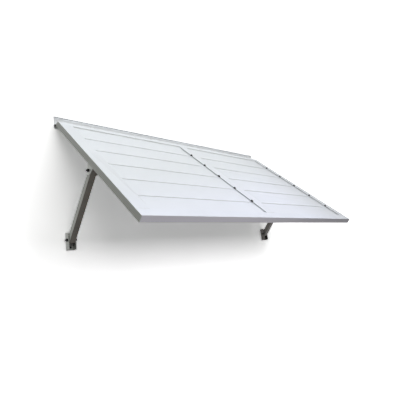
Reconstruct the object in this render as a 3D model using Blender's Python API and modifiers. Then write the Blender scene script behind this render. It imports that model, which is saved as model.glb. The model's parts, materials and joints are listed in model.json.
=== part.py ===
"""Sloped metal awning: a slatted canopy hinged on a wall rail and braced by two square tube arms.

Metres, +Z up. The wall is the plane y = 0, the awning stands out along -Y, and the origin is
the centre of the rail's back face. In the canopy's own frame, Y runs up the slope, Z is the
normal of its top face, and the origin is on the hinge axis.
"""
import math

import bmesh
import bpy
from mathutils import Matrix, Vector

# Canopy frame
WIDTH = 1.620
SLOPE_LENGTH = 0.905
SLOPE = math.radians(45)
FRAME_DEPTH = 0.0304
FRAME_WALL = 0.0020
STRIP_WIDTH = 0.065
LOWER_FLANGE = 0.062
REAR_FLANGE = 0.042
FRONT_FLANGE = 0.050
LEDGE_REACH = 0.012
HINGE_BEHIND = 0.0182
HINGE_BELOW = 0.0319
CHEEK_START = 0.004
CHEEK_TOP = math.radians(95)
CHEEK_BOTTOM = math.radians(-85)

# Slats
SLAT_ROWS = 6
SLAT_SHEET = 0.0012
SLAT_TUCK = 0.028
SLAT_DEPTH = 0.0031
LAP_RAMP = 0.0055
LAP_FLAT = 0.0140
LAP_NOSE = 0.0018
NOSE_BEND = 0.0012
TAIL_SHORTER = 0.0040
TAIL_BEND_BACK = 0.0020
TAIL_BEND = 0.0026
REAR_TUCK = 0.030
FRONT_TUCK = 0.017
FRONT_STOP = 0.010

# Wall rail and hinge
RAIL_HEIGHT = 0.060
RAIL_THICKNESS = 0.003
RAIL_LIP = 0.007
SEAL_HEIGHT = 0.007
SEAL_FRONT = 0.0025
SEAL_SHOULDER = 0.0042
HINGE_OUT = 0.0145
HINGE_DOWN = 0.051
BEAD_RADIUS = 0.0045
NECK_THICKNESS = 0.003
HOOK_WALL = 0.0024
NOSE_RADIUS = 0.0100
HOOK_OPEN_LOW = math.radians(-72)
HOOK_OPEN_HIGH = math.radians(42)

# Arms and brackets
ARM_TUBE = 0.030
ARM_WALL = 0.0018
ARM_CORNER = 0.0018
ARM_END = 0.0095
ARM_INSET = 0.0395
ARM_ALONG_SLOPE = 0.4156
CLEVIS_PIVOT_DEPTH = 0.039
ARM_PIVOTS = 0.377
BRACKET_SHEET = 0.004
BRACKET_BEND = 0.006
BRACKET_HEIGHT = 0.085
BRACKET_EDGE = 0.008
BRACKET_CORNER = 0.007
BRACKET_PIVOT_OUT = 0.026
BRACKET_PIVOT_UP = 0.005
CLEVIS_LENGTH = 0.062
CLEVIS_NOSE = 0.021
SIDE_PLAY = 0.0008

# Fasteners
BOLT_RADIUS = 0.004
BOLT_HEAD = 0.013
BOLT_HEAD_HEIGHT = 0.0055
NUT_HEIGHT = 0.0065
BOLT_TIP = 0.006
ANCHOR_RADIUS = 0.003
ANCHOR_HEAD = 0.010
ANCHOR_HEAD_HEIGHT = 0.0045
ANCHOR_EDGE = 0.0135
RAIL_SCREWS = 4
RAIL_SCREW_UP = 0.007
SLAT_SCREW_RADIUS = 0.0024
SLAT_SCREW_HEAD = 0.010
SLAT_SCREW_HEAD_HEIGHT = 0.0050
WASHER_RADIUS = 0.0080
WASHER_THICKNESS = 0.0020
NOTCH_CLEARANCE = 0.0025
END_SCREW_RADIUS = 0.0020
END_SCREW_HEAD = 0.0062
END_SCREW_HEAD_HEIGHT = 0.0045
END_SCREW_DEPTH = 0.018
CLEVIS_SCREW_EDGE = 0.011
SCREW_TIP = 0.003

# Clearances
GAP = 0.0003
RUNNING_GAP = 0.0004
OVERLAP = 0.0004
CUT_MARGIN = 0.001
CUT_REACH = 0.012
ROUND_SEGMENTS = 24

# Places that follow from the sizes above
HALF = WIDTH / 2
HINGE_Z = RAIL_HEIGHT / 2 - HINGE_DOWN
SLAT_PITCH = (SLOPE_LENGTH - REAR_FLANGE - FRONT_TUCK) / SLAT_ROWS
FLANGE_UNDER = FRAME_WALL
LAP_TOP = FLANGE_UNDER + GAP
SLAT_TOP = LAP_TOP + SLAT_DEPTH
LEDGE_TOP = SLAT_TOP + SLAT_SHEET + GAP
LEDGE_END = LEDGE_TOP + FRAME_WALL
REAR_JOINT = REAR_FLANGE + GAP
FRONT_JOINT = SLOPE_LENGTH - FRONT_FLANGE - GAP
SCREW_BACK = LAP_FLAT / 2 - LAP_NOSE
WEB_INSIDE = HALF - FRAME_WALL
BAR_HALF = WEB_INSIDE - GAP
ARM_X = HALF - ARM_INSET
ANCHOR_SPACING = BRACKET_HEIGHT - 2 * ANCHOR_EDGE
CLEVIS_SCREW_SPACING = CLEVIS_LENGTH - 2 * CLEVIS_SCREW_EDGE
BRACKET_WIDTH = ARM_TUBE + 2 * (SIDE_PLAY + BRACKET_SHEET)
CLEVIS_BASE = FRAME_DEPTH + GAP
CLEVIS_PIVOT_N = FRAME_DEPTH + CLEVIS_PIVOT_DEPTH


def slope_point(d, n):
    """Canopy frame (Y, Z) of a point d down the slope from the rear edge and n under the top face."""
    return (-(HINGE_BEHIND + d), HINGE_BELOW - n)


def arc(centre, radius, start, end, segments):
    """Points of an arc from angle start to angle end, both ends included."""
    step = (end - start) / segments
    angles = [start + step * i for i in range(segments + 1)]
    return [(centre[0] + radius * math.cos(a), centre[1] + radius * math.sin(a)) for a in angles]


def rounded_box(x0, y0, x1, y1, radius, segments=3):
    """Closed outline of a rectangle with round corners."""
    quarter = math.pi / 2
    centres = [(x1 - radius, y1 - radius), (x0 + radius, y1 - radius),
               (x0 + radius, y0 + radius), (x1 - radius, y0 + radius)]
    points = []
    for i, centre in enumerate(centres):
        points += arc(centre, radius, quarter * i, quarter * (i + 1), segments)
    return points


def new_collection(name):
    collection = bpy.data.collections.new(name)
    bpy.context.scene.collection.children.link(collection)
    return collection


def new_material(name, colour, roughness, metallic):
    material = bpy.data.materials.new(name)
    material.use_nodes = True
    shader = material.node_tree.nodes["Principled BSDF"]
    shader.inputs["Base Color"].default_value = (*colour, 1.0)
    shader.inputs["Roughness"].default_value = roughness
    shader.inputs["Metallic"].default_value = metallic
    return material


def new_empty(name, location, rotation_x=0.0, parent=None):
    """Empty that carries a moving group, with its X axis on the group's joint axis."""
    empty = bpy.data.objects.new(name, None)
    empty.location = location
    empty.rotation_euler = (rotation_x, 0.0, 0.0)
    empty.parent = parent
    PARTS.objects.link(empty)
    return empty


def outline_mesh(name, loops, axis, start, end):
    """Solid from a flat outline (outer loop, then holes), extruded along one axis.

    The outline is in the plane of the other two axes, in alphabetical order.
    """
    curve = bpy.data.curves.new(name, "CURVE")
    curve.dimensions = "2D"
    curve.fill_mode = "BOTH"
    curve.extrude = abs(end - start) / 2
    for loop in loops:
        spline = curve.splines.new("POLY")
        spline.points.add(len(loop) - 1)
        for point, (u, v) in zip(spline.points, loop):
            point.co = (u, v, 0.0, 1.0)
        spline.use_cyclic_u = True
    holder = bpy.data.objects.new(name, curve)
    CUTTERS.objects.link(holder)
    bpy.context.view_layer.update()
    evaluated = holder.evaluated_get(bpy.context.evaluated_depsgraph_get())
    mesh = bpy.data.meshes.new_from_object(evaluated)
    bpy.data.objects.remove(holder)
    bpy.data.curves.remove(curve)
    mesh.name = name
    weld(mesh)
    middle = (start + end) / 2
    turns = {"X": Matrix(((0, 0, 1), (1, 0, 0), (0, 1, 0))),
             "Y": Matrix(((1, 0, 0), (0, 0, -1), (0, 1, 0))),
             "Z": Matrix.Identity(3)}
    shifts = {"X": (middle, 0, 0), "Y": (0, middle, 0), "Z": (0, 0, middle)}
    mesh.transform(Matrix.Translation(shifts[axis]) @ turns[axis].to_4x4())
    return mesh


def weld(mesh):
    """Join the loose caps of an extruded curve to its sides, and make each flat face one face."""
    solid = bmesh.new()
    solid.from_mesh(mesh)
    bmesh.ops.remove_doubles(solid, verts=solid.verts, dist=0.00001)
    slivers = [face for face in solid.faces if face.calc_area() < 1e-9]
    long_edges = {max(face.edges, key=lambda edge: edge.calc_length()) for face in slivers}
    bmesh.ops.dissolve_edges(solid, edges=list(long_edges))
    bmesh.ops.dissolve_limit(solid, angle_limit=math.radians(0.5), verts=solid.verts,
                             edges=solid.edges)
    bmesh.ops.recalc_face_normals(solid, faces=solid.faces)
    solid.to_mesh(mesh)
    solid.free()


def round_mesh(name, radius, start, end, axis, segments=ROUND_SEGMENTS):
    """Cylinder, or a prism where segments is small, along one axis through the origin."""
    solid = bmesh.new()
    bmesh.ops.create_cone(solid, cap_ends=True, segments=segments, radius1=radius,
                          radius2=radius, depth=end - start)
    mesh = bpy.data.meshes.new(name)
    solid.to_mesh(mesh)
    solid.free()
    half_segment = Matrix.Rotation(math.pi / segments, 4, "Z")
    mesh.transform(Matrix.Translation((0, 0, (start + end) / 2)) @ half_segment)
    turns = {"X": Matrix.Rotation(math.pi / 2, 4, "Y"),
             "Y": Matrix.Rotation(-math.pi / 2, 4, "X"),
             "Z": Matrix.Identity(4)}
    mesh.transform(turns[axis])
    return mesh


def place(name, mesh, location=(0, 0, 0), parent=None, material=None):
    """Add a part of the awning."""
    part = bpy.data.objects.new(name, mesh)
    part.location = location
    part.parent = parent
    PARTS.objects.link(part)
    if material and not mesh.materials:
        mesh.materials.append(material)
    mesh.shade_smooth()
    mesh.set_sharp_from_angle(angle=math.radians(35))
    return part


def cut(part, mesh, location=(0, 0, 0), operation="DIFFERENCE"):
    """Cut the part with a mesh given in the part's own frame."""
    cutter = bpy.data.objects.new(part.name + "_cutter", mesh)
    cutter.parent = part
    cutter.location = location
    cutter.hide_render = True
    cutter.display_type = "WIRE"
    CUTTERS.objects.link(cutter)
    modifier = part.modifiers.new(cutter.name, "BOOLEAN")
    modifier.operation = operation
    modifier.solver = "EXACT"
    modifier.object = cutter
    return cutter


def fused_mesh(name, meshes):
    """One closed mesh from meshes that overlap."""
    base = bpy.data.objects.new(name, meshes[0])
    CUTTERS.objects.link(base)
    helpers = [base]
    for mesh in meshes[1:]:
        other = bpy.data.objects.new(name + "_add", mesh)
        CUTTERS.objects.link(other)
        helpers.append(other)
        modifier = base.modifiers.new(other.name, "BOOLEAN")
        modifier.operation = "UNION"
        modifier.solver = "EXACT"
        modifier.object = other
    bpy.context.view_layer.update()
    evaluated = base.evaluated_get(bpy.context.evaluated_depsgraph_get())
    fused = bpy.data.meshes.new_from_object(evaluated)
    fused.name = name
    for helper in helpers:
        bpy.data.objects.remove(helper)
    return fused


def hex_mesh(name, across_flats, start, end, axis):
    """Hexagonal prism, as a bolt head or nut blank."""
    return round_mesh(name, across_flats / math.sqrt(3), start, end, axis, segments=6)


def make_rail():
    """Wall rail: back plate with a drip lip on top and a hinge bead on a neck, in one profile."""
    top = RAIL_HEIGHT / 2
    neck = NECK_THICKNESS / 2
    bead = math.asin(neck / BEAD_RADIUS)
    plate = [(0, -top), (0, top), (-RAIL_LIP, top), (-RAIL_LIP, top - RAIL_THICKNESS),
             (-RAIL_THICKNESS, top - RAIL_THICKNESS), (-RAIL_THICKNESS, -top)]
    bead_outline = [(-RAIL_THICKNESS / 2, HINGE_Z + neck)]
    bead_outline += arc((-HINGE_OUT, HINGE_Z), BEAD_RADIUS, bead, 2 * math.pi - bead, ROUND_SEGMENTS)
    bead_outline.append((-RAIL_THICKNESS / 2, HINGE_Z - neck))
    plate_mesh = outline_mesh("rail_plate", [plate], "X", -HALF, HALF)
    bead_end = BAR_HALF - GAP
    bead_mesh = outline_mesh("rail_bead", [bead_outline], "X", -bead_end, bead_end)
    rail = place("wall_rail", fused_mesh("wall_rail", [plate_mesh, bead_mesh]), material=WHITE)
    bore = END_SCREW_RADIUS + GAP
    for side in (-1, 1):
        ends = sorted((side * (bead_end - END_SCREW_DEPTH), side * HALF))
        cut(rail, round_mesh("bead_bore", bore, *ends, "X"), (0, -HINGE_OUT, HINGE_Z))
    for x in rail_screw_places():
        hole = round_mesh("rail_hole", ANCHOR_RADIUS + GAP, -2 * RAIL_THICKNESS, RAIL_THICKNESS, "Y")
        cut(rail, hole, (x, 0, RAIL_SCREW_UP))


def rail_screw_places():
    spacing = WIDTH / RAIL_SCREWS
    return [-HALF + spacing * (i + 0.5) for i in range(RAIL_SCREWS)]


def make_seal():
    """Weather strip that lies on the rail's lip, against the wall."""
    bottom = RAIL_HEIGHT / 2 + GAP
    top = bottom + SEAL_HEIGHT
    centre = (-RAIL_LIP + SEAL_SHOULDER, top - SEAL_SHOULDER)
    outline = [(0, bottom), (-RAIL_LIP, bottom), (-RAIL_LIP, bottom + SEAL_FRONT)]
    outline += arc(centre, SEAL_SHOULDER, math.pi, math.pi / 2, 6)
    outline.append((0, top))
    place("rail_seal", outline_mesh("rail_seal", [outline], "X", -HALF, HALF), material=SEAL)


def make_anchors(name, places, parent):
    """Hex head screws in a plate against the wall; places are (x, plate thickness, z)."""
    for number, (x, plate, z) in enumerate(places, 1):
        seat = -(plate + GAP)
        shank = round_mesh("anchor_shank", ANCHOR_RADIUS, seat - ANCHOR_HEAD_HEIGHT / 2, 0, "Y", 16)
        head = hex_mesh("anchor_head", ANCHOR_HEAD, seat - ANCHOR_HEAD_HEIGHT, seat, "Y")
        mesh = fused_mesh(name, [head, shank])
        place(f"{name}_{number}", mesh, (x, 0, z), parent, DARK)


def make_hinge_bar(canopy):
    """Rear bar of the canopy, whose C-shaped hook closes round the rail's bead."""
    inner = BEAD_RADIUS + RUNNING_GAP
    outer = inner + HOOK_WALL
    hook = arc((0, 0), outer, HOOK_OPEN_HIGH, 2 * math.pi + HOOK_OPEN_LOW, ROUND_SEGMENTS)
    hook += arc((0, 0), inner, 2 * math.pi + HOOK_OPEN_LOW, HOOK_OPEN_HIGH, ROUND_SEGMENTS)
    web = FRAME_WALL
    bar = [(0, 0), (REAR_FLANGE, 0), (REAR_FLANGE, web), (web, web), (web, LEDGE_TOP),
           (REAR_FLANGE, LEDGE_TOP), (REAR_FLANGE, LEDGE_END), (web, LEDGE_END),
           (web, FRAME_DEPTH - web), (REAR_FLANGE, FRAME_DEPTH - web), (REAR_FLANGE, FRAME_DEPTH),
           (-HINGE_BEHIND + inner + HOOK_WALL / 2, FRAME_DEPTH),
           (-HINGE_BEHIND + inner + HOOK_WALL / 2, FRAME_DEPTH - web), (0, FRAME_DEPTH - web)]
    bar_outline = [slope_point(d, n) for d, n in bar]
    meshes = [outline_mesh("hinge_bar", [bar_outline], "X", -BAR_HALF, BAR_HALF),
              outline_mesh("hinge_hook", [hook], "X", -BAR_HALF, BAR_HALF)]
    place("hinge_bar", fused_mesh("hinge_bar", meshes), parent=canopy, material=WHITE)


def make_end_screws():
    """Screws into the bead's ends, which keep the canopy from sliding off sideways."""
    for name, side in (("left", -1), ("right", 1)):
        seat = HALF + GAP
        inside = BAR_HALF - END_SCREW_DEPTH
        shank_ends = sorted((side * inside, side * (seat + END_SCREW_HEAD_HEIGHT / 2)))
        head_ends = sorted((side * seat, side * (seat + END_SCREW_HEAD_HEIGHT)))
        shank = round_mesh("end_screw_shank", END_SCREW_RADIUS, *shank_ends, "X", 16)
        head = round_mesh("end_screw_head", END_SCREW_HEAD, *head_ends, "X")
        mesh = fused_mesh("hinge_end_screw", [head, shank])
        place(f"hinge_end_screw_{name}", mesh, (0, -HINGE_OUT, HINGE_Z), None, DARK)


def member_mesh(name, outline, start, end):
    """Long member of the frame, from an outline in x and depth, between two places down the slope."""
    loop = [(x, HINGE_BELOW - n) for x, n in outline]
    return outline_mesh(name, [loop], "Y", -(HINGE_BEHIND + end), -(HINGE_BEHIND + start))


def make_side_channel(name, side, canopy):
    """Side channel: top strip, slat ledge and lower flange on an outer web that ends at the hinge."""
    web = FRAME_WALL
    ledge = STRIP_WIDTH + LEDGE_REACH
    outline = [(0, 0), (STRIP_WIDTH, 0), (STRIP_WIDTH, web), (web, web), (web, LEDGE_TOP),
               (ledge, LEDGE_TOP), (ledge, LEDGE_END), (web, LEDGE_END), (web, FRAME_DEPTH - web),
               (LOWER_FLANGE, FRAME_DEPTH - web), (LOWER_FLANGE, FRAME_DEPTH), (0, FRAME_DEPTH)]
    outline = [(side * (HALF - across), n) for across, n in outline]
    channel = member_mesh(name, outline, REAR_JOINT, FRONT_JOINT)
    centre = slope_point(-HINGE_BEHIND, HINGE_BELOW)
    cheek = arc(centre, NOSE_RADIUS, CHEEK_TOP, CHEEK_BOTTOM, 14)
    cheek += [slope_point(CHEEK_START, FRAME_DEPTH), slope_point(SLOPE_LENGTH, FRAME_DEPTH),
              slope_point(SLOPE_LENGTH, 0), slope_point(0, 0)]
    ends = sorted((side * WEB_INSIDE, side * HALF))
    mesh = fused_mesh(name, [channel, outline_mesh("cheek", [cheek], "X", *ends)])
    part = place(f"{name}_side_channel", mesh, parent=canopy, material=WHITE)
    hole = round_mesh("end_screw_hole", END_SCREW_RADIUS + RUNNING_GAP, -2 * web, 2 * web, "X")
    cut(part, hole, (side * HALF, 0, 0))
    return part


def make_rafter(canopy):
    """Centre rafter: an I-section with a slot on each side for the slats' ends."""
    half_strip = STRIP_WIDTH / 2
    half_web = FRAME_WALL / 2
    half_ledge = half_strip + LEDGE_REACH
    half_flange = LOWER_FLANGE / 2
    right = [(half_strip, 0), (half_strip, FRAME_WALL), (half_web, FRAME_WALL),
             (half_web, LEDGE_TOP), (half_ledge, LEDGE_TOP), (half_ledge, LEDGE_END),
             (half_web, LEDGE_END), (half_web, FRAME_DEPTH - FRAME_WALL),
             (half_flange, FRAME_DEPTH - FRAME_WALL), (half_flange, FRAME_DEPTH)]
    outline = right + [(-x, n) for x, n in reversed(right)]
    mesh = member_mesh("centre_rafter", outline, REAR_JOINT, FRONT_JOINT)
    return place("centre_rafter", mesh, parent=canopy, material=WHITE)


def make_fascia(canopy):
    """Front bar: fascia web with top flange, slat ledge and lower flange turned back from it."""
    front = SLOPE_LENGTH
    back = front - FRONT_FLANGE
    web = front - FRAME_WALL
    outline = [(front, 0), (back, 0), (back, FRAME_WALL), (web, FRAME_WALL), (web, LEDGE_TOP),
               (back, LEDGE_TOP), (back, LEDGE_END), (web, LEDGE_END),
               (web, FRAME_DEPTH - FRAME_WALL), (back, FRAME_DEPTH - FRAME_WALL),
               (back, FRAME_DEPTH), (front, FRAME_DEPTH)]
    loop = [slope_point(d, n) for d, n in outline]
    mesh = outline_mesh("front_fascia", [loop], "X", -BAR_HALF, BAR_HALF)
    place("front_fascia", mesh, parent=canopy, material=FASCIA)


def slat_path(row):
    """Middle line of one slat in (d, n): raised tail under the slat above, flat, ramp and nose."""
    half = SLAT_SHEET / 2
    flat = SLAT_TOP + half
    lap = LAP_TOP + half
    tail = lap + SLAT_SHEET + GAP
    rear = REAR_FLANGE + SLAT_PITCH * (row - 1)
    front = REAR_FLANGE + SLAT_PITCH * row
    if row == 1:
        path = [(rear - REAR_TUCK, lap), (rear, lap), (rear + LAP_RAMP, flat)]
    else:
        tail_end = rear + LAP_NOSE - LAP_FLAT + TAIL_SHORTER
        bend_start = rear - TAIL_BEND_BACK
        path = [(tail_end, tail), (bend_start, tail), (bend_start + TAIL_BEND, flat)]
    if row == SLAT_ROWS:
        return path + [(SLOPE_LENGTH - FRONT_STOP, flat)]
    flat_end = front + LAP_NOSE - LAP_FLAT - LAP_RAMP
    path += [(flat_end, flat), (flat_end + LAP_RAMP, lap)]
    nose = front + LAP_NOSE
    bend = arc((nose, lap + NOSE_BEND), NOSE_BEND, -math.pi / 2, 0, 4)
    return path + bend + [(nose + NOSE_BEND, SLAT_TOP - GAP)]


def make_slat(name, row, x0, x1, canopy):
    """One slat: a bent sheet, open surface with thickness, running along the awning."""
    sheet = bmesh.new()
    previous = None
    for d, n in slat_path(row):
        y, z = slope_point(d, n)
        pair = (sheet.verts.new((x0, y, z)), sheet.verts.new((x1, y, z)))
        if previous:
            sheet.faces.new((previous[0], previous[1], pair[1], pair[0]))
        previous = pair
    mesh = bpy.data.meshes.new(name)
    sheet.to_mesh(mesh)
    sheet.free()
    slat = place(name, mesh, parent=canopy, material=SLAT)
    thickness = slat.modifiers.new("sheet", "SOLIDIFY")
    thickness.thickness = SLAT_SHEET
    thickness.offset = 0
    thickness.use_even_offset = True
    return slat


def slat_screw_mesh():
    """Hex head screw with a sealing washer, along Z, its washer resting on z = 0."""
    washer_top = GAP + WASHER_THICKNESS
    washer = round_mesh("washer", WASHER_RADIUS, GAP, washer_top, "Z", 20)
    head = hex_mesh("screw_head", SLAT_SCREW_HEAD, washer_top - OVERLAP,
                    washer_top + SLAT_SCREW_HEAD_HEIGHT, "Z")
    shank_end = LAP_TOP - LEDGE_END - SCREW_TIP
    shank = round_mesh("screw_shank", SLAT_SCREW_RADIUS, shank_end, washer_top, "Z", 12)
    return fused_mesh("slat_screw", [washer, head, shank])


def make_canopy_skin(canopy, rafter, right_channel):
    """Two sections of slats, screwed at each lap where the strip's edge has a round notch."""
    inset = STRIP_WIDTH - SLAT_TUCK
    rafter_inset = STRIP_WIDTH / 2 - SLAT_TUCK
    sections = (("left", -HALF + inset, -rafter_inset, -STRIP_WIDTH / 2, rafter),
                ("right", rafter_inset, HALF - inset, HALF - STRIP_WIDTH, right_channel))
    screw = slat_screw_mesh()
    hole = round_mesh("slat_screw_hole", SLAT_SCREW_RADIUS + GAP, -CUT_REACH, CUT_REACH, "Z", 12)
    notch = round_mesh("notch", WASHER_RADIUS + NOTCH_CLEARANCE, GAP / 2, CUT_REACH, "Z")
    for name, x0, x1, screw_x, carrier in sections:
        slats = [make_slat(f"{name}_slat_{row}", row, x0, x1, canopy)
                 for row in range(1, SLAT_ROWS + 1)]
        for row in range(1, SLAT_ROWS):
            y, z = slope_point(REAR_FLANGE + SLAT_PITCH * row - SCREW_BACK, LAP_TOP)
            seat = (screw_x, y, z)
            place(f"{name}_slat_screw_{row}", screw, seat, canopy, DARK)
            for part in (slats[row - 1], slats[row], carrier):
                cut(part, hole, seat)
            cut(carrier, notch, seat)


def round_ear():
    """Outline of the clevis ear's free edge round the pivot, from its high to its low end."""
    return arc((0, 0), CLEVIS_NOSE, math.radians(25), math.radians(155), 18)


def straight_ear():
    """Outline of the wall bracket ear's free edge, straight with round corners."""
    corner = BRACKET_CORNER
    high = BRACKET_HEIGHT / 2 - BRACKET_PIVOT_UP
    low = high - BRACKET_HEIGHT
    centre_out = BRACKET_EDGE - corner
    outline = arc((high - corner, centre_out), corner, 0, math.pi / 2, 5)
    return outline + arc((low + corner, centre_out), corner, math.pi / 2, math.pi, 5)


def make_u_bracket(name, length, ear, pivot_high, pivot_along, frame, parent):
    """U-bracket folded from sheet, with a pivot hole through both ears.

    In its own frame, X is across, Y along the base and Z out of the base. The pivot is the
    origin; the base's outer face lies pivot_high under it, and ear is the ears' free edge.
    """
    half = BRACKET_WIDTH / 2
    inside = half - BRACKET_SHEET
    bend = BRACKET_BEND
    inner_bend = bend - BRACKET_SHEET
    base = -pivot_high
    tip = max(out for along, out in ear) + CUT_MARGIN
    quarter = math.pi / 2
    channel = [(-half, tip)] + arc((-half + bend, base + bend), bend, 2 * quarter, 3 * quarter, 4)
    channel += arc((half - bend, base + bend), bend, 3 * quarter, 4 * quarter, 4)
    channel += [(half, tip), (inside, tip)]
    channel += arc((inside - inner_bend, base + bend), inner_bend, 0, -quarter, 4)
    channel += arc((-inside + inner_bend, base + bend), inner_bend, -quarter, -2 * quarter, 4)
    channel.append((-inside, tip))
    reach = half + CUT_MARGIN
    low = -length / 2 - pivot_along
    high = length / 2 - pivot_along
    folded = outline_mesh(name, [channel], "Y", low - CUT_MARGIN, high + CUT_MARGIN)
    edge = [(low, base - CUT_MARGIN), (high, base - CUT_MARGIN), (high, base + bend)]
    edge += ear + [(low, base + bend)]
    bracket = place(name, folded, parent=parent, material=BRACKET)
    bracket.matrix_basis = frame
    cut(bracket, outline_mesh("ear_shape", [edge], "X", -reach, reach), operation="INTERSECT")
    cut(bracket, round_mesh("pivot_hole", BOLT_RADIUS + GAP, -2 * half, 2 * half, "X"))
    return bracket


def make_arm(name, parent):
    """Square tube arm from the upper pivot (origin of the parent) along -Z to the lower pivot."""
    half = ARM_TUBE / 2
    outer = rounded_box(-half, -half, half, half, ARM_CORNER)
    bore_half = half - ARM_WALL
    inner = rounded_box(-bore_half, -bore_half, bore_half, bore_half, ARM_CORNER / 2)
    mesh = outline_mesh(name, [outer, inner], "Z", -ARM_PIVOTS - ARM_END, ARM_END)
    arm = place(name, mesh, parent=parent, material=ARM)
    for z in (0, -ARM_PIVOTS):
        cut(arm, round_mesh("arm_hole", BOLT_RADIUS + GAP, -2 * half, 2 * half, "X"), (0, 0, z))


def make_pivot_bolt(name, parent):
    """Through bolt on the pivot axis, head toward +X and nut toward -X."""
    seat = BRACKET_WIDTH / 2 + GAP
    end = -(seat + NUT_HEIGHT + BOLT_TIP)
    head = hex_mesh("bolt_head", BOLT_HEAD, seat, seat + BOLT_HEAD_HEIGHT, "X")
    shank = round_mesh("bolt_shank", BOLT_RADIUS, end, seat + BOLT_HEAD_HEIGHT / 2, "X", 16)
    place(f"{name}_bolt", fused_mesh("pivot_bolt", [head, shank]), parent=parent, material=DARK)
    nut_mesh = hex_mesh("nut", BOLT_HEAD, -seat - NUT_HEIGHT, -seat, "X")
    nut = place(f"{name}_nut", nut_mesh, parent=parent, material=DARK)
    cut(nut, round_mesh("nut_bore", BOLT_RADIUS + GAP, -2 * seat, 0, "X", 16))


def clevis_screws(name, bracket_x, canopy, channel, clevis):
    """Two screws that fix the clevis to the channel's lower flange from below."""
    top = FRAME_WALL + GAP + SCREW_TIP
    seat = BRACKET_SHEET + GAP
    shank = round_mesh("clevis_screw_shank", ANCHOR_RADIUS, -seat - ANCHOR_HEAD_HEIGHT / 2, top, "Z", 16)
    head = hex_mesh("clevis_screw_head", ANCHOR_HEAD, -seat - ANCHOR_HEAD_HEIGHT, -seat, "Z")
    mesh = fused_mesh("clevis_screw", [head, shank])
    hole_mesh = round_mesh("clevis_screw_hole", ANCHOR_RADIUS + GAP, -2 * seat, 2 * top, "Z", 16)
    for number, side in ((1, 1), (2, -1)):
        along = side * CLEVIS_SCREW_SPACING / 2
        y, z = slope_point(ARM_ALONG_SLOPE - along, CLEVIS_BASE)
        place(f"{name}_clevis_screw_{number}", mesh, (bracket_x, y, z), canopy, DARK)
        cut(channel, hole_mesh, (bracket_x, y, z))
        cut(clevis, hole_mesh, (0, -along, -(CLEVIS_PIVOT_DEPTH - GAP)))


def make_brace(name, side, canopy, channel):
    """One brace: clevis on the canopy, tube arm, and wall bracket at its lower end."""
    x = side * ARM_X
    y, z = slope_point(ARM_ALONG_SLOPE, CLEVIS_PIVOT_N)
    upper = new_empty(f"{name}_upper_pivot", (x, y, z), parent=canopy)
    clevis_frame = Matrix.Rotation(math.pi, 4, "X")
    clevis = make_u_bracket(f"{name}_clevis", CLEVIS_LENGTH, round_ear(), CLEVIS_PIVOT_DEPTH - GAP,
                            0, clevis_frame, upper)
    clevis_screws(name, x, canopy, channel, clevis)
    make_pivot_bolt(f"{name}_upper", upper)
    lower_y, lower_z = lower_pivot()
    upper_y, upper_z = canopy_to_world(y, z)
    lean = math.atan2(lower_y - upper_y, upper_z - lower_z)
    arm = new_empty(f"{name}_arm_axis", (x, upper_y, upper_z), lean)
    make_arm(f"{name}_arm_tube", arm)
    lower = new_empty(f"{name}_lower_pivot", (x, lower_y, lower_z))
    wall_frame = Matrix.Rotation(math.pi / 2, 4, "X")
    bracket = make_u_bracket(f"{name}_wall_bracket", BRACKET_HEIGHT, straight_ear(),
                             BRACKET_PIVOT_OUT, BRACKET_PIVOT_UP, wall_frame, lower)
    make_pivot_bolt(f"{name}_lower", lower)
    places = []
    for step in (1, -1):
        up = -BRACKET_PIVOT_UP + step * ANCHOR_SPACING / 2
        hole = round_mesh("anchor_hole", ANCHOR_RADIUS + GAP, -2 * BRACKET_PIVOT_OUT, 0, "Z", 16)
        cut(bracket, hole, (0, up, 0))
        places.append((x, BRACKET_SHEET, lower_z + up))
    make_anchors(f"{name}_bracket_screw", places, None)


def canopy_to_world(y, z):
    """World (Y, Z) of a point given in the canopy's frame."""
    turned = Matrix.Rotation(SLOPE, 3, "X") @ Vector((0, y, z))
    return (turned.y - HINGE_OUT, turned.z + HINGE_Z)


def lower_pivot():
    """World (Y, Z) of the lower arm pivot: in front of the wall, one arm away from the upper one."""
    upper_y, upper_z = canopy_to_world(*slope_point(ARM_ALONG_SLOPE, CLEVIS_PIVOT_N))
    out = -BRACKET_PIVOT_OUT
    drop = math.sqrt(ARM_PIVOTS ** 2 - (out - upper_y) ** 2)
    return (out, upper_z - drop)


def make_awning():
    canopy = new_empty("canopy_hinge", (0, -HINGE_OUT, HINGE_Z), SLOPE)
    make_rail()
    make_seal()
    rail_places = [(x, RAIL_THICKNESS, RAIL_SCREW_UP) for x in rail_screw_places()]
    make_anchors("rail_screw", rail_places, None)
    make_end_screws()
    make_hinge_bar(canopy)
    left_channel = make_side_channel("left", -1, canopy)
    right_channel = make_side_channel("right", 1, canopy)
    rafter = make_rafter(canopy)
    make_fascia(canopy)
    make_canopy_skin(canopy, rafter, right_channel)
    make_brace("left", -1, canopy, left_channel)
    make_brace("right", 1, canopy, right_channel)
    bpy.context.view_layer.update()


for old in list(bpy.data.objects):
    bpy.data.objects.remove(old)

PARTS = new_collection("awning")
CUTTERS = new_collection("awning_cutters")
WHITE = new_material("white_coated_aluminium", (0.78, 0.80, 0.83), 0.35, 0.0)
SLAT = new_material("slat_sheet", (0.80, 0.82, 0.86), 0.32, 0.0)
FASCIA = new_material("fascia_sheet", (0.76, 0.77, 0.80), 0.36, 0.0)
ARM = new_material("arm_tube", (0.35, 0.34, 0.32), 0.38, 0.6)
BRACKET = new_material("bracket_steel", (0.48, 0.50, 0.47), 0.42, 0.7)
SEAL = new_material("seal_rubber", (0.42, 0.44, 0.45), 0.70, 0.0)
DARK = new_material("dark_fastener", (0.035, 0.035, 0.035), 0.45, 0.6)

make_awning()
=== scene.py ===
"""Looks of the metal awning: coated sheet, mill-finish arms, galvanised brackets and dark screws."""
import json
import math

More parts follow.
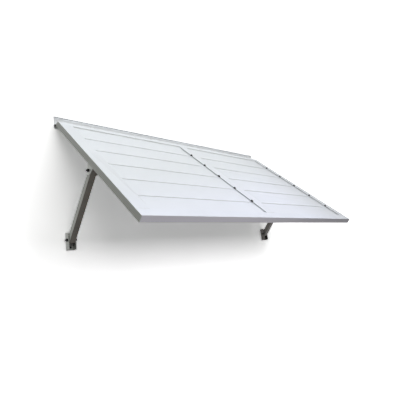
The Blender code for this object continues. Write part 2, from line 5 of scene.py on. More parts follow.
import bmesh
import bpy
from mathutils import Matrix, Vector


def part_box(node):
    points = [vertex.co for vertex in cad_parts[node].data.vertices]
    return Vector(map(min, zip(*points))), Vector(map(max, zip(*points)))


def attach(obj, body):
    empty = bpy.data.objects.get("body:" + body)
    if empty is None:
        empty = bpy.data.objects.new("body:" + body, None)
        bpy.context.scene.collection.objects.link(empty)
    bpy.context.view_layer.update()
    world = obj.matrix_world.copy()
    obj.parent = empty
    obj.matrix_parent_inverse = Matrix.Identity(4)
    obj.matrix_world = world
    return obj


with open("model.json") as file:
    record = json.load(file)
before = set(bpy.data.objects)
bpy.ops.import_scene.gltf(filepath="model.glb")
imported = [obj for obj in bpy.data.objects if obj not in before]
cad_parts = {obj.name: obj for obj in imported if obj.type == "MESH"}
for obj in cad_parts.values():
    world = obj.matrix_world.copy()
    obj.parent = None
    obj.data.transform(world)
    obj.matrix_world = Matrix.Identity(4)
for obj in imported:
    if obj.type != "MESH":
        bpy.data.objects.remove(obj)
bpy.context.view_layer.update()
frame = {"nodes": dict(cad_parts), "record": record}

# Camera, at the photograph's viewing angle
CAMERA_PLACE = (-1.5223, -1.7157, -0.9009)
CAMERA_TURN = (102.619, 8.312, -42.511)
CAMERA_LENS = 32.57
SENSOR = 36.0

# Stage: a wall just behind the awning, and a floor
WALL_FACE = 0.0010
FLOOR_LEVEL = -1.55
STAGE_REACH = 9.0
STAGE_GREY = 0.35
STAGE_REFLECTED = 0.9
SHADOW_CONTRAST = 2.3
WHITE = (1.0, 1.0, 1.0)

# The stage's own glow, low behind the awning and plain white away from it
GLOW_LEAST = 0.175
GLOW_START = 0.86
GLOW_FULL = 1.24
GLOW_CENTRE = (-0.08, 0.0, -0.35)
GLOW_STRETCH = (1.0, 1.0, 1.6)
GLOW_SQUARENESS = 4.0

# Overhead softbox, wide front softbox and dim air
OVERHEAD_PLACE = (-0.3, -1.6, 6.0)
OVERHEAD_AIM = (-0.2, -0.40, -0.35)
OVERHEAD_SIZE = (4.4, 2.6)
OVERHEAD_POWER = 306.0
OVERHEAD_COLOUR = (0.965, 0.985, 1.0)
FRONT_PLACE = (-0.35, -5.0, -0.38)
FRONT_AIM = (-0.2, 0.0, -0.40)
FRONT_SIZE = (5.2, 1.35)
FRONT_POWER = 76.0
FRONT_COLOUR = (1.0, 0.98, 1.0)
AIR_COLOUR = (0.97, 1.0, 0.955)
AIR_STRENGTH = 0.26

# Rounded edges of rolled, extruded and forged metal, by material slot
EDGE_WIDTHS = {
    "white_coated_aluminium": 0.0006,
    "fascia_sheet": 0.0006,
    "arm_tube": 0.0006,
    "slat_sheet": 0.0003,
    "bracket_steel": 0.0005,
    "dark_fastener": 0.0004,
}
EDGE_STEPS = 2
SHARPEST_FLAT = 40.0
JOIN_DISTANCE = 0.00002

# Rolled thread on the ends of the pivot bolts; the flank is a share of the pitch
THREAD_PITCH = 0.00125
THREAD_CREST = 0.0043
THREAD_ROOT = 0.0039
THREAD_FLANK = 0.45
THREAD_STEPS = 20

# Painted light and shade: directions, and reaches in metres from the middle of the rail; lighter
# towards the front, darker towards the right end
TOWARDS_SHADED_END = (1.0, 0.0, 0.0)
TOWARDS_LIT_FRONT = (0.25, -1.0, 0.0)
LIT_FRONT_REACH = (0.24, 0.62)
SHADED_END_REACH = (0.25, 0.92)
SIDE_SHADE_REACH = (-0.35, 0.75)
BARE_SHADE_REACH = (-0.4, 0.6)

# How far a face looks down, where painted light and shade on turned faces start and are full: 1 is
# straight down, 0 is upright
COATED_SHADE_SPAN = (-0.45, -0.10)
BARE_SHADE_SPAN = (0.25, 0.55)

# Coating tones: the coat's own tone at the rear, painted light towards the front and painted shade at
# the right end; painted light and shade on upright and downward faces: at the left end and at the right
# end
CANOPY_TONES_LIT_AND_SHADED = ((0.765, 0.795, 0.825), (0.85, 0.875, 0.97), (0.68, 0.70, 0.73))
# The rail's tones are a lighter copy of the coat's, painted light against the shade under its lip
RAIL_TONES_LIGHTENED = ((0.93, 0.95, 0.97), (0.93, 0.95, 0.97), (0.93, 0.95, 0.96))
# The frame's sides are painted darker and greener: painted shade with a reflected tint
FRAME_SIDE_SHADE = ((0.63, 0.65, 0.595), (0.58, 0.60, 0.56))
# Slat noses and ends are painted lighter, so that the laps read lighter
SLAT_SIDE_LIGHT = ((0.96, 0.97, 0.99), (0.92, 0.93, 0.95))
# The fascia's face is painted lighter with a purple reflected tint, and painted dark at its right end
FASCIA_SIDE_LIGHT_AND_SHADE = ((0.89, 0.87, 0.945), (0.46, 0.45, 0.49))
# The rail's face is painted lighter against the shade under its lip
RAIL_SIDE_LIGHT = ((0.96, 0.975, 0.985), (0.94, 0.955, 0.965))
# Pale edges: worn coat, paled further as a painted highlight along the edges
COATED_EDGE_HIGHLIGHT = (0.93, 0.95, 0.97)

# Bare and zinc-coated metal, with painted shade: brown on the arms' downward faces (lighter on the
# right arm), towards the right end and in pockets
ARM_DARK = (0.38, 0.395, 0.365)
ARM_LIGHT = (0.50, 0.515, 0.48)
ARM_EDGE = (0.62, 0.62, 0.59)
ARM_TURN = (-0.793, 0.0, 0.0)
LEFT_ARM_UNDERSIDE_SHADE = (0.135, 0.122, 0.105)
RIGHT_ARM_UNDERSIDE_SHADE = (0.235, 0.222, 0.215)
RIGHT_END_SHADE = (0.17, 0.16, 0.15)
POCKET_SHADE_COLOUR = (0.045, 0.042, 0.038)

# Values between which most of a noise texture lies
NOISE_LOW = 0.3
NOISE_HIGH = 0.7

# Worn edges, paled on the coat as a painted highlight: cosines of the turn where wear starts and is
# full, and the noise that breaks it up
WEAR_START = 0.995
WEAR_FULL = 0.80
CHIP_LOW = 0.35
CHIP_HIGH = 0.60
CHIP_LEAST = 0.35


def new_group(name, inputs, outputs):
    """Shader node group with float, colour or vector sockets."""
    group = bpy.data.node_groups.new(name, "ShaderNodeTree")
    for socket, kind, default in inputs:
        made = group.interface.new_socket(name=socket, in_out="INPUT", socket_type=kind)
        made.default_value = default
    for socket, kind in outputs:
        group.interface.new_socket(name=socket, in_out="OUTPUT", socket_type=kind)
    return group


def add_node(tree, kind, **settings):
    """Shader node with sockets or properties set by name."""
    node = tree.nodes.new(kind)
    for key, value in settings.items():
        if key in node.inputs:
            node.inputs[key].default_value = value
        else:
            setattr(node, key, value)
    return node


def link(tree, source, output, target, socket):
    """Join an output of one node to an input of another."""
    tree.links.new(source.outputs[output], target.inputs[socket])


def map_range(tree, low, high, new_low=0.0, new_high=1.0, **settings):
    """Map Range node that takes low to new_low and high to new_high."""
    node = add_node(tree, "ShaderNodeMapRange", **settings)
    limits = {"From Min": low, "From Max": high, "To Min": new_low, "To Max": new_high}
    for socket, value in limits.items():
        node.inputs[socket].default_value = value
    return node


def mix_shaders(tree, factor, first, second):
    """First shader where the factor is 0, second where it is 1."""
    mix = add_node(tree, "ShaderNodeMixShader")
    tree.links.new(factor, mix.inputs["Fac"])
    tree.links.new(first, mix.inputs[1])
    tree.links.new(second, mix.inputs[2])
    return mix.outputs[0]


def mottle_group():
    """Soft clouding of a coating: slightly lighter and darker patches, and their mask."""
    group = new_group("coat_mottle",
                      (("Colour", "NodeSocketColor", (0.8, 0.8, 0.8, 1.0)),
                       ("Patch Size", "NodeSocketFloat", 6.0),
                       ("Strength", "NodeSocketFloat", 0.04)),
                      (("Colour", "NodeSocketColor"), ("Mask", "NodeSocketFloat")))
    enter = add_node(group, "NodeGroupInput")
    leave = add_node(group, "NodeGroupOutput")
    place = add_node(group, "ShaderNodeTexCoord")
    cloud = add_node(group, "ShaderNodeTexNoise", Detail=4.0, Roughness=0.55)
    spread = map_range(group, NOISE_LOW, NOISE_HIGH, new_low=-1.0)
    amount = add_node(group, "ShaderNodeMath", operation="MULTIPLY_ADD")
    amount.inputs[2].default_value = 1.0
    tint = add_node(group, "ShaderNodeVectorMath", operation="SCALE")
    link(group, place, "Object", cloud, "Vector")
    link(group, enter, "Patch Size", cloud, "Scale")
    link(group, cloud, "Fac", spread, "Value")
    link(group, spread, "Result", amount, 0)
    link(group, enter, "Strength", amount, 1)
    link(group, enter, "Colour", tint, "Vector")
    link(group, amount, 0, tint, "Scale")
    link(group, tint, "Vector", leave, "Colour")
    link(group, cloud, "Fac", leave, "Mask")
    return group


def sheet_height_group():
    """Height of a sprayed coat: fine orange peel over the long, shallow waves of thin sheet."""
    group = new_group("sheet_height",
                      (("Grain Size", "NodeSocketFloat", 900.0),
                       ("Grain", "NodeSocketFloat", 0.06),
                       ("Wave Size", "NodeSocketFloat", 3.0),
                       ("Wave", "NodeSocketFloat", 1.0)),
                      (("Height", "NodeSocketFloat"),))
    enter = add_node(group, "NodeGroupInput")
    leave = add_node(group, "NodeGroupOutput")
    place = add_node(group, "ShaderNodeTexCoord")
    stretch = add_node(group, "ShaderNodeMapping", Scale=(0.6, 2.2, 2.2))
    grain = add_node(group, "ShaderNodeTexNoise", Detail=2.0)
    wave = add_node(group, "ShaderNodeTexNoise", Detail=1.0)
    low = add_node(group, "ShaderNodeMath", operation="MULTIPLY")
    total = add_node(group, "ShaderNodeMath", operation="MULTIPLY_ADD")
    link(group, place, "Object", grain, "Vector")
    link(group, place, "Object", stretch, "Vector")
    link(group, stretch, "Vector", wave, "Vector")
    link(group, enter, "Grain Size", grain, "Scale")
    link(group, enter, "Wave Size", wave, "Scale")
    link(group, wave, "Fac", low, 0)
    link(group, enter, "Wave", low, 1)
    link(group, grain, "Fac", total, 0)
    link(group, enter, "Grain", total, 1)
    link(group, low, 0, total, 2)
    link(group, total, 0, leave, "Height")
    return group


def drawn_lines_group():
    """Fine lines along a drawn or extruded length, as a mask between 0 and 1."""
    group = new_group("drawn_lines",
                      (("Scale", "NodeSocketVector", (60.0, 900.0, 900.0)),
                       ("Turn", "NodeSocketVector", (0.0, 0.0, 0.0))),
                      (("Mask", "NodeSocketFloat"),))
    enter = add_node(group, "NodeGroupInput")
    leave = add_node(group, "NodeGroupOutput")
    place = add_node(group, "ShaderNodeTexCoord")
    turn = add_node(group, "ShaderNodeMapping")
    stretch = add_node(group, "ShaderNodeVectorMath", operation="MULTIPLY")
    lines = add_node(group, "ShaderNodeTexNoise", Detail=3.0, Scale=1.0)
    link(group, place, "Object", turn, "Vector")
    link(group, enter, "Turn", turn, "Rotation")
    link(group, turn, "Vector", stretch, 0)
    link(group, enter, "Scale", stretch, 1)
    link(group, stretch, "Vector", lines, "Vector")
    link(group, lines, "Fac", leave, "Mask")
    return group


def edge_wear_group():
    """Mask of corners and folded edges, broken up by a fine noise."""
    group = new_group("edge_wear",
                      (("Reach", "NodeSocketFloat", 0.002), ("Patch Size", "NodeSocketFloat", 60.0)),
                      (("Mask", "NodeSocketFloat"),))
    enter = add_node(group, "NodeGroupInput")
    leave = add_node(group, "NodeGroupOutput")
    rounded = add_node(group, "ShaderNodeBevel", samples=4)
    flat = add_node(group, "ShaderNodeNewGeometry")
    compare = add_node(group, "ShaderNodeVectorMath", operation="DOT_PRODUCT")
    edge = map_range(group, WEAR_START, WEAR_FULL)
    place = add_node(group, "ShaderNodeTexCoord")
    patches = add_node(group, "ShaderNodeTexNoise", Detail=3.0)
    broken = map_range(group, CHIP_LOW, CHIP_HIGH, new_low=CHIP_LEAST)
    both = add_node(group, "ShaderNodeMath", operation="MULTIPLY")
    link(group, enter, "Reach", rounded, "Radius")
    link(group, rounded, "Normal", compare, 0)
    link(group, flat, "Normal", compare, 1)
    link(group, compare, "Value", edge, "Value")
    link(group, place, "Object", patches, "Vector")
    link(group, enter, "Patch Size", patches, "Scale")
    link(group, patches, "Fac", broken, "Value")
    link(group, edge, "Result", both, 0)
    link(group, broken, "Result", both, 1)
    link(group, both, 0, leave, "Mask")
    return group


def spread_mask(group, enter, source, output, leave):
    """Smooth mask that rises as a value goes from the group's Start to its Full."""
    spread = add_node(group, "ShaderNodeMapRange", interpolation_type="SMOOTHSTEP")
    link(group, source, output, spread, "Value")
    link(group, enter, "Start", spread, "From Min")
    link(group, enter, "Full", spread, "From Max")
    link(group, spread, "Result", leave, "Mask")


def shaded_face_group():
    """Mask of the faces that look sideways or down, which get painted light and shade for how light
    falls on them.
    """
    group = new_group("shaded_face",
                      (("Start", "NodeSocketFloat", 0.25), ("Full", "NodeSocketFloat", 0.55)),
                      (("Mask", "NodeSocketFloat"),))
    enter = add_node(group, "NodeGroupInput")
    leave = add_node(group, "NodeGroupOutput")
    place = add_node(group, "ShaderNodeTexCoord")
    parts = add_node(group, "ShaderNodeSeparateXYZ")
    down = add_node(group, "ShaderNodeMath", operation="MULTIPLY")
    down.inputs[1].default_value = -1.0
    link(group, place, "Normal", parts, "Vector")
    link(group, parts, "Z", down, 0)
    spread_mask(group, enter, down, 0, leave)
    return group


def along_group():
    """Mask along a direction: 0 before Start metres, 1 past Full metres."""
    group = new_group("along_direction",
                      (("Direction", "NodeSocketVector", (0.0, -1.0, 0.0)),
                       ("Start", "NodeSocketFloat", 0.0), ("Full", "NodeSocketFloat", 1.0)),
                      (("Mask", "NodeSocketFloat"),))
    enter = add_node(group, "NodeGroupInput")
    leave = add_node(group, "NodeGroupOutput")
    place = add_node(group, "ShaderNodeTexCoord")
    along = add_node(group, "ShaderNodeVectorMath", operation="DOT_PRODUCT")
    link(group, place, "Object", along, 0)
    link(group, enter, "Direction", along, 1)
    spread_mask(group, enter, along, "Value", leave)
    return group


def crevice_shade_group():
    """Mask of inner corners and narrow gaps, for painted shade where little light gets in."""
    group = new_group("crevice_shade",
                      (("Reach", "NodeSocketFloat", 0.02),
                       ("Start", "NodeSocketFloat", 0.45), ("Full", "NodeSocketFloat", 0.80)),
                      (("Mask", "NodeSocketFloat"),))
    enter = add_node(group, "NodeGroupInput")
    leave = add_node(group, "NodeGroupOutput")
    open_sky = add_node(group, "ShaderNodeAmbientOcclusion", samples=4)
    closed = add_node(group, "ShaderNodeMath", operation="SUBTRACT")
    closed.inputs[0].default_value = 1.0
    link(group, enter, "Reach", open_sky, "Distance")
    link(group, open_sky, "AO", closed, 1)
    spread_mask(group, enter, closed, 0, leave)
    return group


MOTTLE = mottle_group()
EDGE_WEAR = edge_wear_group()
SHADED_FACE = shaded_face_group()
ALONG = along_group()
CREVICE_SHADE = crevice_shade_group()
SHEET_HEIGHT = sheet_height_group()
DRAWN_LINES = drawn_lines_group()


def use_group(tree, group, **values):
    """Place a node group in a material; Patch_Size stands for the socket Patch Size."""
    node = tree.nodes.new("ShaderNodeGroup")
    node.node_tree = group
    for key, value in values.items():
        node.inputs[key.replace("_", " ")].default_value = value
    return node


def along_mask(tree, direction, reach):
    """Output of a mask that rises along a direction, over a reach of two distances."""
    node = use_group(tree, ALONG, Direction=direction, Start=reach[0], Full=reach[1])
    return node.outputs["Mask"]


def shaded_face_mask(tree, shade_span):
    """Output of a mask that rises as faces turn down, over two measures of how far."""
    return use_group(tree, SHADED_FACE, Start=shade_span[0], Full=shade_span[1]).outputs["Mask"]


def metal_base(name, roughness, metallic):
    """New material with its Principled shader's plain values set."""
    material = bpy.data.materials.new(name)
    material.use_nodes = True
    shader = material.node_tree.nodes["Principled BSDF"]
    shader.inputs["Roughness"].default_value = roughness
    shader.inputs["Metallic"].default_value = metallic
    return material, material.node_tree, shader


def vary_roughness(tree, shader, mask, output, low, high):
    """Roughness that follows a mask between two values."""
    spread = map_range(tree, NOISE_LOW, NOISE_HIGH, low, high)
    link(tree, mask, output, spread, "Value")
    link(tree, spread, "Result", shader, "Roughness")


def add_bump(tree, shader, height, output, strength, distance):
    """Relief from a height, in the shader's normal."""
    bump = add_node(tree, "ShaderNodeBump", Strength=strength, Distance=distance)
    link(tree, height, output, bump, "Height")
    link(tree, bump, "Normal", shader, "Normal")


def blend_colour(tree, mask, below, above):
    """Mix of two colours by a mask; each is a plain colour or a colour output."""
    mix = add_node(tree, "ShaderNodeMix", data_type="RGBA")
    for name, colour in (("A", below), ("B", above)):
        socket = next(s for s in mix.inputs if s.name == name and s.type == "RGBA")
        if isinstance(colour, bpy.types.NodeSocket):
            tree.links.new(colour, socket)
        else:
            socket.default_value = (*colour, 1.0)
    tree.links.new(mask, mix.inputs["Factor"])
    return next(s for s in mix.outputs if s.type == "RGBA")


def coated_sheet(name, tones, side_lighting, mottle, wave, rough, bare_edges=0.0):
    """Satin coat: cloudy, painted lighter towards the front and darker towards the right end, with
    painted light and shade on its upright and downward faces, and worn edges paled further as a painted
    highlight.
    """
    rear, front, shaded_end = tones
    left_side_lighting, right_side_lighting = side_lighting
    material, tree, shader = metal_base(name, roughness=rough, metallic=0.0)
    # Painted light: the coat grows lighter and bluer towards the front
    coat = blend_colour(tree, along_mask(tree, TOWARDS_LIT_FRONT, LIT_FRONT_REACH), rear, front)
    tint = use_group(tree, MOTTLE, Patch_Size=5.0, Strength=mottle)
    tree.links.new(coat, tint.inputs["Colour"])
    # Painted shade: the top darkens towards the right end
    top = blend_colour(tree, along_mask(tree, TOWARDS_SHADED_END, SHADED_END_REACH), tint.outputs["Colour"], shaded_end)
    # Painted light and shade on upright and downward faces, changing towards the right end
    lit_sides = blend_colour(tree, along_mask(tree, TOWARDS_SHADED_END, SIDE_SHADE_REACH), left_side_lighting, right_side_lighting)
    body = blend_colour(tree, shaded_face_mask(tree, COATED_SHADE_SPAN), top, lit_sides)
    wear = use_group(tree, EDGE_WEAR, Reach=0.0022, Patch_Size=25.0)
    # Worn edges, paled further as a painted highlight
    worn = blend_colour(tree, wear.outputs["Mask"], body, COATED_EDGE_HIGHLIGHT)
    tree.links.new(worn, shader.inputs["Base Color"])
    if bare_edges:
        bare = add_node(tree, "ShaderNodeMath", operation="MULTIPLY")
        bare.inputs[1].default_value = bare_edges
        link(tree, wear, "Mask", bare, 0)
        link(tree, bare, 0, shader, "Metallic")
    height = use_group(tree, SHEET_HEIGHT, Wave=wave)
    vary_roughness(tree, shader, tint, "Mask", low=rough - 0.06, high=rough + 0.08)
    add_bump(tree, shader, height, "Height", strength=0.5, distance=0.002)
    return material


def mill_aluminium(name, underside_shade):
    """Bare tube: drawn lines along its length, painted shade towards the right end, and brown painted
    shade on the faces that look down.
    """
    material, tree, shader = metal_base(name, roughness=0.40, metallic=0.35)
    lines = use_group(tree, DRAWN_LINES, Turn=ARM_TURN, Scale=(700.0, 700.0, 14.0))
    clean = blend_colour(tree, lines.outputs["Mask"], ARM_DARK, ARM_LIGHT)
    # Painted shade: darker towards the right end
    right_end_shaded = blend_colour(tree, along_mask(tree, TOWARDS_SHADED_END, BARE_SHADE_REACH), clean, RIGHT_END_SHADE)
    # Painted shade, brown, on the faces that look down
    shaded_underside = use_group(tree, MOTTLE, Colour=(*underside_shade, 1.0), Patch_Size=16.0, Strength=0.22)
    body = blend_colour(tree, shaded_face_mask(tree, BARE_SHADE_SPAN), right_end_shaded, shaded_underside.outputs["Colour"])
    wear = use_group(tree, EDGE_WEAR, Reach=0.0016, Patch_Size=80.0)
    worn = blend_colour(tree, wear.outputs["Mask"], body, ARM_EDGE)
    tree.links.new(worn, shader.inputs["Base Color"])
    vary_roughness(tree, shader, shaded_underside, "Mask", low=0.34, high=0.52)
    add_bump(tree, shader, lines, "Mask", strength=0.12, distance=0.0004)
    return material


def galvanised(name, dark, light, underside_shade, edge):
    """Zinc-coated sheet: small crystals, bright cut edges, and painted shade on its downward faces,
    towards its right end and in its pockets.
    """
    material, tree, shader = metal_base(name, roughness=0.42, metallic=0.35)
    place = add_node(tree, "ShaderNodeTexCoord")
    spangle = add_node(tree, "ShaderNodeTexVoronoi", Scale=260.0)
    grey = add_node(tree, "ShaderNodeRGBToBW")
    link(tree, place, "Object", spangle, "Vector")
    link(tree, spangle, "Color", grey, "Color")
    clean = blend_colour(tree, grey.outputs["Val"], dark, light)
    # Painted shade on the faces that look down
    underside_shaded = blend_colour(tree, shaded_face_mask(tree, BARE_SHADE_SPAN), clean, underside_shade)
    # Painted shade: darker towards the right end
    right_end_shaded = blend_colour(tree, along_mask(tree, TOWARDS_SHADED_END, BARE_SHADE_REACH), underside_shaded, RIGHT_END_SHADE)
    # Painted shade in inner corners and gaps
    shaded_pocket = use_group(tree, CREVICE_SHADE, Reach=0.05, Start=0.42, Full=0.82)
    body = blend_colour(tree, shaded_pocket.outputs["Mask"], right_end_shaded, POCKET_SHADE_COLOUR)
    wear = use_group(tree, EDGE_WEAR, Reach=0.0015, Patch_Size=90.0)
    worn = blend_colour(tree, wear.outputs["Mask"], body, edge)
    tree.links.new(worn, shader.inputs["Base Color"])
    vary_roughness(tree, shader, grey, "Val", low=0.34, high=0.50)
    add_bump(tree, shader, grey, "Val", strength=0.10, distance=0.0003)
    return material


def rubber(name, colour):
    """Matt seal, with a fine grain and a little dust."""
    material, tree, shader = metal_base(name, roughness=0.75, metallic=0.0)
    tint = use_group(tree, MOTTLE, Colour=(*colour, 1.0), Patch_Size=30.0, Strength=0.10)
    height = use_group(tree, SHEET_HEIGHT, Grain=0.5, Wave=0.0, Grain_Size=1500.0)
    link(tree, tint, "Colour", shader, "Base Color")
    add_bump(tree, shader, height, "Height", strength=0.3, distance=0.0005)
    return material


def blackened(name, colour):
    """Dark fastener with a slightly worn finish."""
    material, tree, shader = metal_base(name, roughness=0.40, metallic=0.55)
    tint = use_group(tree, MOTTLE, Colour=(*colour, 1.0), Patch_Size=320.0, Strength=0.35)
    height = use_group(tree, SHEET_HEIGHT, Grain=0.6, Wave=0.0, Grain_Size=2500.0)
    link(tree, tint, "Colour", shader, "Base Color")
    vary_roughness(tree, shader, tint, "Mask", low=0.32, high=0.52)
    add_bump(tree, shader, height, "Height", strength=0.25, distance=0.0003)
    return material


SLOT_FINISHES = {
    "white_coated_aluminium": coated_sheet("frame_coating", CANOPY_TONES_LIT_AND_SHADED, FRAME_SIDE_SHADE,
                                           mottle=0.03, wave=0.6, rough=0.38),
    "slat_sheet": coated_sheet("slat_coating", CANOPY_TONES_LIT_AND_SHADED, SLAT_SIDE_LIGHT,
                               mottle=0.018, wave=1.0, rough=0.36, bare_edges=0.15),
    "fascia_sheet": coated_sheet("fascia_coating", CANOPY_TONES_LIT_AND_SHADED, FASCIA_SIDE_LIGHT_AND_SHADE,
                                 mottle=0.03, wave=0.6, rough=0.55),
    "arm_tube": mill_aluminium("arm_metal", LEFT_ARM_UNDERSIDE_SHADE),
    "bracket_steel": galvanised("bracket_zinc", dark=(0.52, 0.54, 0.50), light=(0.68, 0.70, 0.66),
                                underside_shade=(0.24, 0.23, 0.21), edge=(0.82, 0.84, 0.80)),
    "seal_rubber": rubber("seal_strip", (0.50, 0.52, 0.54)),
    "dark_fastener": blackened("dark_screws", (0.030, 0.029, 0.028)),
}
# Lighter copy of the bracket zinc: painted light on the clevises, which sit in the channel's shade
CLEVIS_LIGHTENED_ZINC = galvanised("clevis_lightened_zinc", dark=(0.66, 0.68, 0.64), light=(0.82, 0.84, 0.80),
                         underside_shade=(0.26, 0.25, 0.23), edge=(0.85, 0.87, 0.83))

# Pieces given lighter copies of their slot's finish: painted light against the shade each sits in
NODE_FINISHES = {
    "wall_rail": coated_sheet("rail_lightened_coating", RAIL_TONES_LIGHTENED, RAIL_SIDE_LIGHT, mottle=0.02, wave=0.4, rough=0.36),
    "right_arm_tube": mill_aluminium("right_arm_lighter_shade_metal", RIGHT_ARM_UNDERSIDE_SHADE),
    "left_clevis": CLEVIS_LIGHTENED_ZINC,
    "right_clevis": CLEVIS_LIGHTENED_ZINC,
}


def round_edges(node, width):
    """Small radius on a solid's edges; its faces are joined first, so that the radius runs through."""
    weld = node.modifiers.new("joined_faces", "WELD")
    weld.merge_threshold = JOIN_DISTANCE
    bevel = node.modifiers.new("rounded_edges", "BEVEL")
    bevel.width = width
    bevel.segments = EDGE_STEPS
    bevel.limit_method = "ANGLE"
    bevel.angle_limit = math.radians(SHARPEST_FLAT)
    bevel.harden_normals = True


def dress_frame():
    """Give each carried-over solid its finish and rounded edges."""
    for entry in frame["record"]["subparts"]:
        name = entry["node"]
        slot = entry["material_slot"]
        node = frame["nodes"][name]
        node.data.materials.clear()
        node.data.materials.append(NODE_FINISHES.get(name, SLOT_FINISHES[slot]))
        if slot in EDGE_WIDTHS:
            round_edges(node, EDGE_WIDTHS[slot])


def new_piece(name, mesh, material):
    """Object from a finished bmesh, in the scene."""
    data = bpy.data.meshes.new(name)
    mesh.to_mesh(data)
    mesh.free()
    data.materials.append(material)
    piece = bpy.data.objects.new(name, data)
    bpy.context.scene.collection.objects.link(piece)
    return piece


def thread_ridge(start, length, middle_y, middle_z):
    """Closed helical ridge along -X, triangular in section."""
    mesh = bmesh.new()
    rings = []
    profile = ((THREAD_FLANK, THREAD_ROOT), (0.0, THREAD_CREST), (-THREAD_FLANK, THREAD_ROOT))
    for step in range(round(length / THREAD_PITCH * THREAD_STEPS) + 1):
        turns = step / THREAD_STEPS
        angle = 2 * math.pi * turns
        ring = []
        for along, radius in profile:
            x = start - THREAD_PITCH * (turns - along)
            y = middle_y + radius * math.cos(angle)
            z = middle_z + radius * math.sin(angle)
            ring.append(mesh.verts.new((x, y, z)))
        rings.append(ring)
    for near, far in zip(rings, rings[1:]):
        for corner in range(len(profile)):
            other = (corner + 1) % len(profile)
            mesh.faces.new((near[corner], near[other], far[other], far[corner]))
    mesh.faces.new(rings[0][::-1])
    mesh.faces.new(rings[-1])
    bmesh.ops.recalc_face_normals(mesh, faces=mesh.faces)
    return mesh


def bolt_thread(bolt, nut, body):
    """Rolled thread on the end of a bolt that stands out of its nut."""
    low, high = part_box(bolt)
    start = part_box(nut)[0][0] - THREAD_PITCH / 2
    length = start - low[0] - THREAD_PITCH
    ridge = thread_ridge(start, length, (low[1] + high[1]) / 2, (low[2] + high[2]) / 2)
    piece = new_piece(f"{bolt}_thread", ridge, SLOT_FINISHES["dark_fastener"])
    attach(piece, body)


def build_threads():
    """Threads on the ends of all four pivot bolts."""
    for side in ("left", "right"):
        bolt_thread(f"{side}_upper_bolt", f"{side}_upper_nut", "canopy")
        bolt_thread(f"{side}_lower_bolt", f"{side}_lower_nut", f"{side}_bracket")


def glow_strength(tree):
    """Output of the stage's glow, which rises with distance from the middle of the awning."""
    place = add_node(tree, "ShaderNodeTexCoord")
    away = add_node(tree, "ShaderNodeMapping", vector_type="TEXTURE", Location=GLOW_CENTRE)
    stretch = add_node(tree, "ShaderNodeMapping", Scale=GLOW_STRETCH)
    power = add_node(tree, "ShaderNodeVectorMath", operation="POWER")
    power.inputs[1].default_value = (GLOW_SQUARENESS,) * 3
    total = add_node(tree, "ShaderNodeVectorMath", operation="DOT_PRODUCT")
    total.inputs[1].default_value = (1.0, 1.0, 1.0)
    distance = add_node(tree, "ShaderNodeMath", operation="POWER")
    distance.inputs[1].default_value = 1.0 / GLOW_SQUARENESS
    glow = map_range(tree, GLOW_START, GLOW_FULL, new_low=GLOW_LEAST,
                     interpolation_type="SMOOTHSTEP")
    link(tree, place, "Object", away, "Vector")
    link(tree, away, "Vector", stretch, "Vector")
    link(tree, stretch, "Vector", power, 0)
    link(tree, power, "Vector", total, 0)
    link(tree, total, "Value", distance, 0)
    link(tree, distance, "Value", glow, "Value")
    return glow.outputs["Result"]


def seen_stage(tree):
    """What the camera sees: the awning's shadow on a pale wall that fades to white."""
    shaded = add_node(tree, "ShaderNodeBsdfDiffuse", Color=(*(SHADOW_CONTRAST,) * 3, 1.0))
    light = add_node(tree, "ShaderNodeEmission", Color=(*WHITE, 1.0))
    tree.links.new(glow_strength(tree), light.inputs["Strength"])
    seen = add_node(tree, "ShaderNodeAddShader")
    link(tree, shaded, 0, seen, 0)
    link(tree, light, 0, seen, 1)
    return seen.outputs[0]


def met_stage(tree, path):
    """What other rays meet: white for gloss and glass, and grey for soft bounces."""
    plain = add_node(tree, "ShaderNodeBsdfDiffuse", Color=(*(STAGE_GREY,) * 3, 1.0))
    mirrored = add_node(tree, "ShaderNodeEmission", Color=(*WHITE, 1.0), Strength=STAGE_REFLECTED)
    reflecting = add_node(tree, "ShaderNodeMath", operation="MAXIMUM")
    link(tree, path, "Is Glossy Ray", reflecting, 0)
    link(tree, path, "Is Transmission Ray", reflecting, 1)
    return mix_shaders(tree, reflecting.outputs[0], plain.outputs[0], mirrored.outputs[0])


def stage_material(name):
    """Pale stage that holds the awning's shadow, and that isn't there when seen from behind."""
    material = bpy.data.materials.new(name)
    material.use_nodes = True
    tree = material.node_tree
    tree.nodes.remove(tree.nodes["Principled BSDF"])
    path = add_node(tree, "ShaderNodeLightPath")
    side = add_node(tree, "ShaderNodeNewGeometry")
    clear = add_node(tree, "ShaderNodeBsdfTransparent")
    front = mix_shaders(tree, path.outputs["Is Camera Ray"], met_stage(tree, path), seen_stage(tree))
    whole = mix_shaders(tree, side.outputs["Backfacing"], front, clear.outputs[0])
    tree.links.new(whole, tree.nodes["Material Output"].inputs["Surface"])
    return material


def stage_plane(name, corners):
    """One flat sheet of the stage."""
    sheet = bmesh.new()
    sheet.faces.new([sheet.verts.new(corner) for corner in corners])
    plane = new_piece(name, sheet, stage_material(f"{name}_white"))
    return plane


def build_stage():
    """Wall and floor, which show only the awning's shadow."""
    reach = STAGE_REACH
    wall = stage_plane("stage_wall", ((-reach, WALL_FACE, FLOOR_LEVEL), (reach, WALL_FACE, FLOOR_LEVEL),
                                      (reach, WALL_FACE, reach), (-reach, WALL_FACE, reach)))
    floor = stage_plane("stage_floor", ((-reach, -reach, FLOOR_LEVEL), (reach, -reach, FLOOR_LEVEL),
                                        (reach, reach, FLOOR_LEVEL), (-reach, reach, FLOOR_LEVEL)))
    return wall, floor


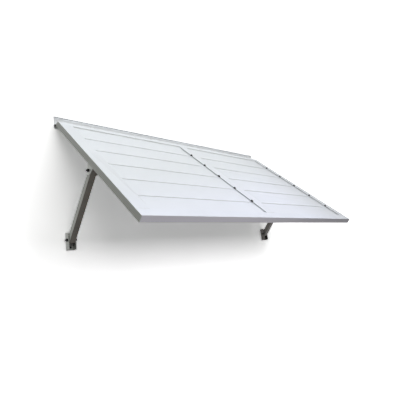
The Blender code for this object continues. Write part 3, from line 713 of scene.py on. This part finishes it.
def add_lamp(name, place, aim, size, power, colour):
    """Rectangular softbox at a place, turned to its aim."""
    lamp = bpy.data.lights.new(name, "AREA")
    lamp.shape = "RECTANGLE"
    lamp.size, lamp.size_y = size
    lamp.energy = power
    lamp.color = colour
    holder = bpy.data.objects.new(name, lamp)
    holder.location = place
    holder.rotation_euler = (Vector(aim) - Vector(place)).to_track_quat("-Z", "Y").to_euler()
    bpy.context.scene.collection.objects.link(holder)
    return holder


def keep_off(lamp, surfaces):
    """Light from this lamp passes these surfaces by."""
    passed = bpy.data.collections.new(lamp.name + "_passes_by")
    for surface in surfaces:
        passed.objects.link(surface)
    for item in passed.collection_objects:
        item.light_linking.link_state = "EXCLUDE"
    lamp.light_linking.receiver_collection = passed


def build_air():
    """Dim light from all around, behind which the camera sees white."""
    world = bpy.data.worlds.new("studio_air")
    world.use_nodes = True
    tree = world.node_tree
    air = tree.nodes["Background"]
    air.inputs["Color"].default_value = (*AIR_COLOUR, 1.0)
    air.inputs["Strength"].default_value = AIR_STRENGTH
    white = add_node(tree, "ShaderNodeBackground", Color=(*WHITE, 1.0), Strength=1.0)
    path = add_node(tree, "ShaderNodeLightPath")
    whole = mix_shaders(tree, path.outputs["Is Camera Ray"], air.outputs[0], white.outputs[0])
    tree.links.new(whole, tree.nodes["World Output"].inputs["Surface"])
    bpy.context.scene.world = world


def build_lights(stage):
    """Overhead softbox on the awning alone, a wide one in front that shadows the wall, and dim air."""
    overhead = add_lamp("overhead_softbox", OVERHEAD_PLACE, OVERHEAD_AIM, OVERHEAD_SIZE,
                        OVERHEAD_POWER, OVERHEAD_COLOUR)
    keep_off(overhead, stage)
    add_lamp("front_softbox", FRONT_PLACE, FRONT_AIM, FRONT_SIZE, FRONT_POWER, FRONT_COLOUR)
    build_air()


def build_camera():
    """Camera at the photograph's place and angle."""
    camera = bpy.data.cameras.new("photo_camera")
    camera.sensor_width = SENSOR
    camera.lens = CAMERA_LENS
    holder = bpy.data.objects.new("photo_camera", camera)
    holder.location = CAMERA_PLACE
    holder.rotation_euler = [math.radians(angle) for angle in CAMERA_TURN]
    bpy.context.scene.collection.objects.link(holder)
    bpy.context.scene.camera = holder


build_camera()
build_lights(build_stage())
dress_frame()
build_threads()
bpy.context.scene.view_settings.view_transform = "Standard"
